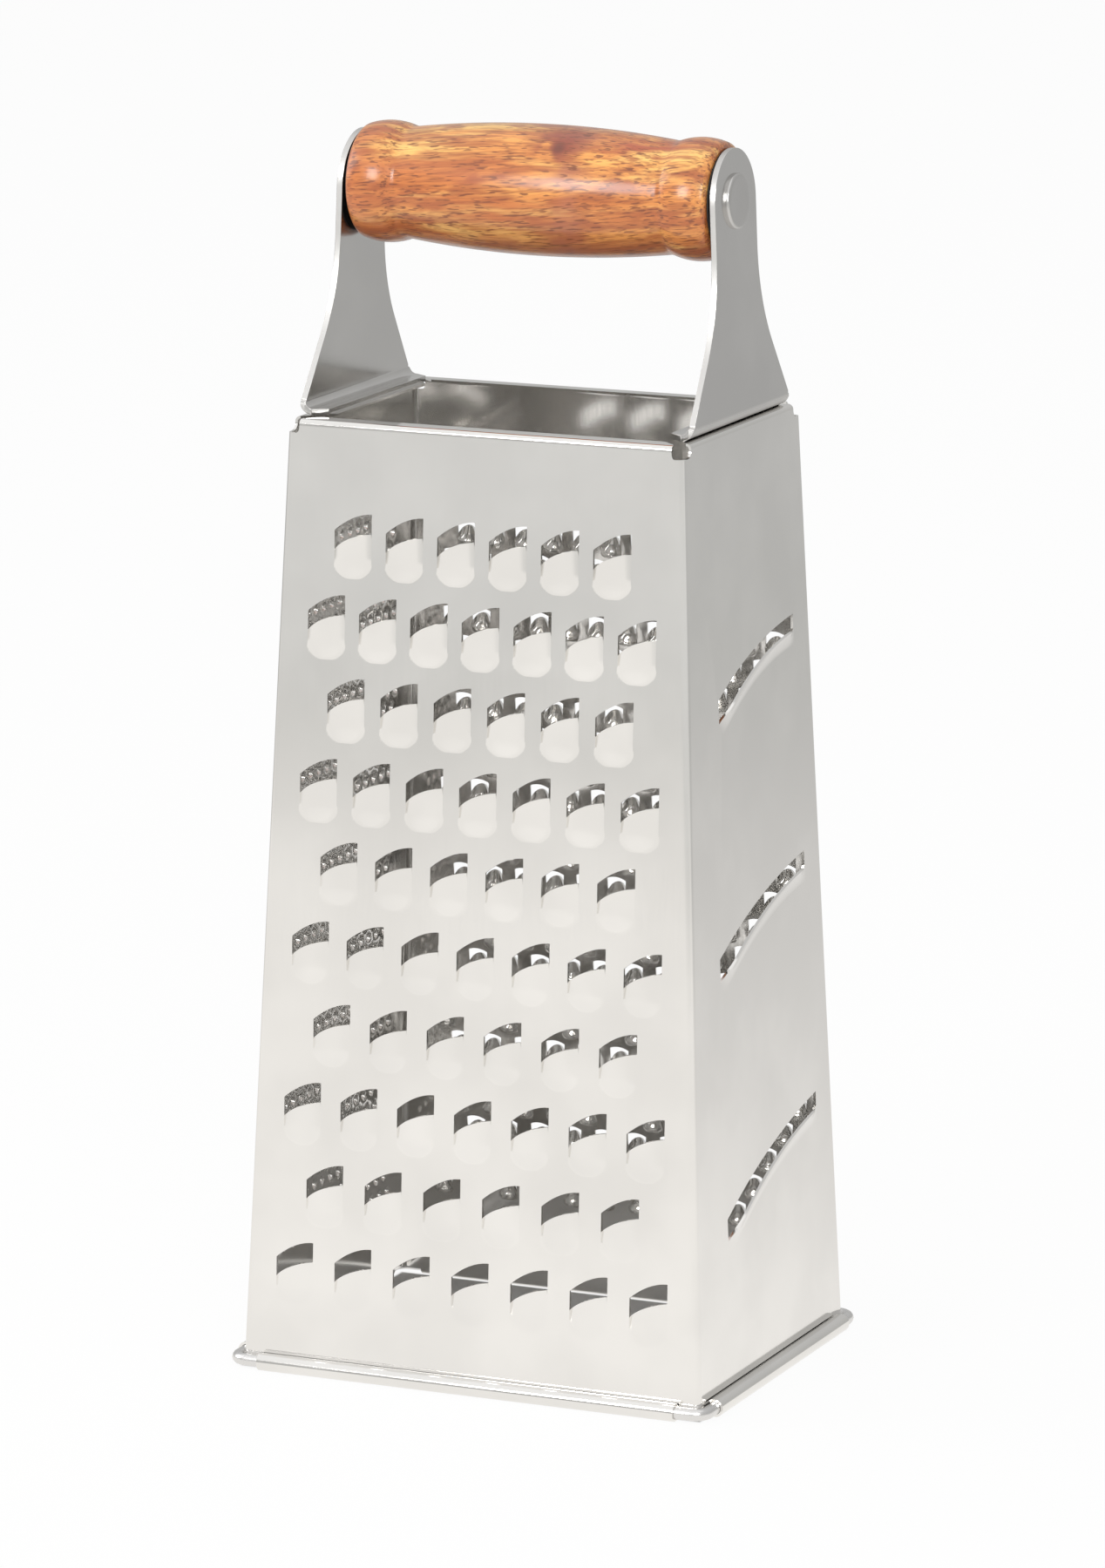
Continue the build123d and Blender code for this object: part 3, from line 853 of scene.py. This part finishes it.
grip_wood = bpy.data.materials.new("grip_wood")
shade = shader_tree(grip_wood)
place = shade.node("ShaderNodeTexCoord", output="Object")
place = shade.node("ShaderNodeVectorMath", {"operation": "SUBTRACT"}, {0: place, 1: (0, 0, rivet_height)})
slope = (0, math.radians(5), math.radians(2))
grain = shade.node("ShaderNodeMapping", None, {"Vector": place, "Rotation": slope})


def noise(scale, detail, distortion=0.0, offset=(0, 0, 0)):
    """Grain drawn out along the grip: its scale is given along, deep and up."""
    stretched = shade.node("ShaderNodeMapping", None, {"Vector": grain, "Scale": scale, "Location": offset})
    inputs = {"Vector": stretched, "Scale": 1.0, "Detail": detail, "Distortion": distortion}
    return shade.node("ShaderNodeTexNoise", None, inputs)


def spot(place, middle, reach):
    """1 at the middle of a figure in the wood, falling softly to 0 at its reach along each axis."""
    away = shade.node("ShaderNodeVectorMath", {"operation": "SUBTRACT"}, {0: place, 1: middle})
    away = shade.node("ShaderNodeVectorMath", {"operation": "DIVIDE"}, {0: away, 1: reach})
    far = shade.node("ShaderNodeVectorMath", {"operation": "LENGTH"}, {0: away}, output="Value")
    return 1 - far.between(0.15, 1.0)


bands = noise((16, 150, 150), 2.5, 0.9)
golden = noise((26, 190, 190), 3.0, 0.6, (11.0, 3.0, 0))
streaks = noise((42, 700, 700), 4.0, 0.3, (3.0, 1.0, 0))
hairs = noise((110, 2300, 2300), 2.0, 0.0, (1.0, 9.0, 0))
pores = noise((300, 2500, 2500), 1.0, 0.0, (0, 5.0, 2.0)).between(0.54, 0.66)
patches = noise((75, 230, 230), 3.0, 0.7, (7.0, 0, 4.0))
warp = noise((120, 160, 160), 2.0, 0.5, (0, 2.0, 5.0))
along = shade.node("ShaderNodeSeparateXYZ", None, {0: place}, output="X")

# The knot with its dark eye, the curl of the grain round it and the red streak that trails from it.
knot = spot(place, (6.0 * mm, -7.5 * mm, 10.5 * mm), (8.0 * mm, 9.0 * mm, 7.0 * mm))
eye = spot(place, (6.5 * mm, -8.5 * mm, 9.3 * mm), (2.2 * mm, 3.0 * mm, 1.8 * mm))
curl = spot(place, (9.0 * mm, 0, 0), (7.0 * mm, 40.0 * mm, 40.0 * mm))
tail = spot(place, (24.0 * mm, -6.0 * mm, 10.0 * mm), (17.0 * mm, 9.0 * mm, 3.2 * mm))

# The colours of the wood, each laid over the ones before it; among them are a painted shade on the
# underside and a darker left end.
colour = shade.mix(bands.between(0.32, 0.68), (0.56, 0.172, 0.044, 1), (0.85, 0.375, 0.092, 1))
colour = shade.mix(golden.between(0.47, 0.68) * 0.85, colour, (0.96, 0.59, 0.175, 1))
colour = shade.mix(patches.between(0.48, 0.70) * 0.8, colour, (0.36, 0.090, 0.032, 1))
colour = shade.mix(streaks.between(0.45, 0.66) * 0.65, colour, (0.36, 0.090, 0.028, 1))
colour = shade.mix(hairs.between(0.46, 0.66) * 0.5, colour, (0.30, 0.080, 0.026, 1))
colour = shade.mix(curl * warp.between(0.3, 0.6) * 0.7, colour, (0.38, 0.125, 0.072, 1))
colour = shade.mix(tail * streaks.between(0.35, 0.6) * 0.8, colour, (0.42, 0.085, 0.035, 1))
colour = shade.mix(knot * warp.between(0.25, 0.5) * 0.95, colour, (0.28, 0.060, 0.032, 1))
colour = shade.mix(eye * 0.8, colour, (0.15, 0.042, 0.028, 1))
# Painted shade: the grip is coloured a darker red-brown on its underside, where it lies in shade.
painted_underside_shade = 1 - shade.node("ShaderNodeSeparateXYZ", None, {0: place}, output="Z").between(-12 * mm, 1 * mm)
left_end = 1 - along.between(-37 * mm, -24 * mm)
colour = shade.mix(painted_underside_shade * 0.45, colour, (0.34, 0.090, 0.036, 1))
colour = shade.mix(left_end * bands.between(0.2, 0.6) * 0.5, colour, (0.44, 0.115, 0.040, 1))
colour = shade.mix(pores * patches.between(0.20, 0.50) * 0.8, colour, (0.17, 0.048, 0.020, 1))
open_pores = shade.node(
    "ShaderNodeBump", None, {"Strength": 0.8, "Distance": 0.02 * mm, "Height": hairs * 0.6 - pores}
)
wood = shade.node(
    "ShaderNodeBsdfPrincipled",
    None,
    {
        "Base Color": colour,
        "Roughness": 0.36 + streaks * 0.12,
        "Specular IOR Level": 0.2,
        "Coat Weight": 1.0,
        "Coat Roughness": 0.21,
        "Normal": open_pores,
    },
)
shade.node("ShaderNodeOutputMaterial", None, {"Surface": wood})
dress(turned_grip, "wooden_grip", "grip", grip_wood)


# Rivet: one steel rod through both arms and the grip, closed over at each end into a low flat
# head with a rounded rim and a shallow dish, which lies against the leaning arm.
rod_radius = 2.5 * mm
head_radius, head_height, head_round = 5.4 * mm, 0.9 * mm, 0.6 * mm
head_steps = 6
head_dish = [(0.88 * mm, 3.9 * mm), (0.8 * mm, 2.4 * mm), (0.78 * mm, 0)]
profile = [(-arm_outside, 0), (-arm_outside, rod_radius), (arm_outside, rod_radius), (arm_outside, 0)]
rod = stand(turn_round("rod", profile, steps=48), (0, 0, rivet_height))
heads = []
for turn in (0, math.pi):
    profile = [(0, 0), (0, head_radius)]
    for step in range(head_steps + 1):
        angle = math.pi / 2 * step / head_steps
        out = head_radius - head_round * (1 - math.cos(angle))
        profile.append((head_height - head_round * (1 - math.sin(angle)), out))
    head = turn_round("head", profile + head_dish, steps=64)
    head = stand(head, (arm_outside, 0, rivet_height), (0, -side_lean, 0))
    heads.append(stand(head, (0, 0, 0), (0, 0, turn)))
rivet = join([rod] + heads)
rivet.name = rivet.data.name = "rivet"
bpy.ops.object.shade_smooth_by_angle(angle=math.radians(40))
rivet_steel = steel(
    "rivet_steel", (0.64, 0.63, 0.615), roughness=0.24, grain_scale=(900, 900, 900), unevenness=0.03 * mm
)
dress(rivet, "grip_rivet", "root", rivet_steel)


# Washers: a thin black fibre disc on the rivet at each end of the grip, which keeps the wood off
# the steel as it turns. Their black also paints the shade of the narrow gap between wood and arms.
washer_ease = 0.08 * mm
# Painted shade: the discs are near black, so the gaps between the grip's ends and the arms read dark.
washer_black = bpy.data.materials.new("washer_black")
shade = shader_tree(washer_black)
place = shade.node("ShaderNodeTexCoord", output="Object")
speckle = shade.node("ShaderNodeTexNoise", None, {"Vector": place, "Scale": 1800.0, "Detail": 3.0})
rough_fibre = shade.node(
    "ShaderNodeBump", None, {"Strength": 0.4, "Distance": 0.05 * mm, "Height": speckle}
)
fibre = shade.node(
    "ShaderNodeBsdfPrincipled",
    None,
    {
        "Base Color": shade.mix(speckle, (0.010, 0.009, 0.009, 1), (0.028, 0.026, 0.024, 1)),
        "Roughness": 0.6 + speckle * 0.25,
        "Normal": rough_fibre,
    },
)
shade.node("ShaderNodeOutputMaterial", None, {"Surface": fibre})
for side, name in ((-1, "left"), (1, "right")):
    outer, inner, ease = side * washer_face, side * (washer_face - washer_thickness), side * washer_ease
    profile = [(outer, rivet_hole), (outer, washer_rim - washer_ease), (outer - ease, washer_rim)]
    profile += [(inner + ease, washer_rim), (inner, washer_rim - washer_ease), (inner, rivet_hole)]
    disc = stand(turn_round(name + "_disc", profile, steps=64), (0, 0, rivet_height))
    bpy.ops.object.shade_smooth_by_angle(angle=math.radians(30))
    dress(disc, name + "_washer", "root", washer_black)
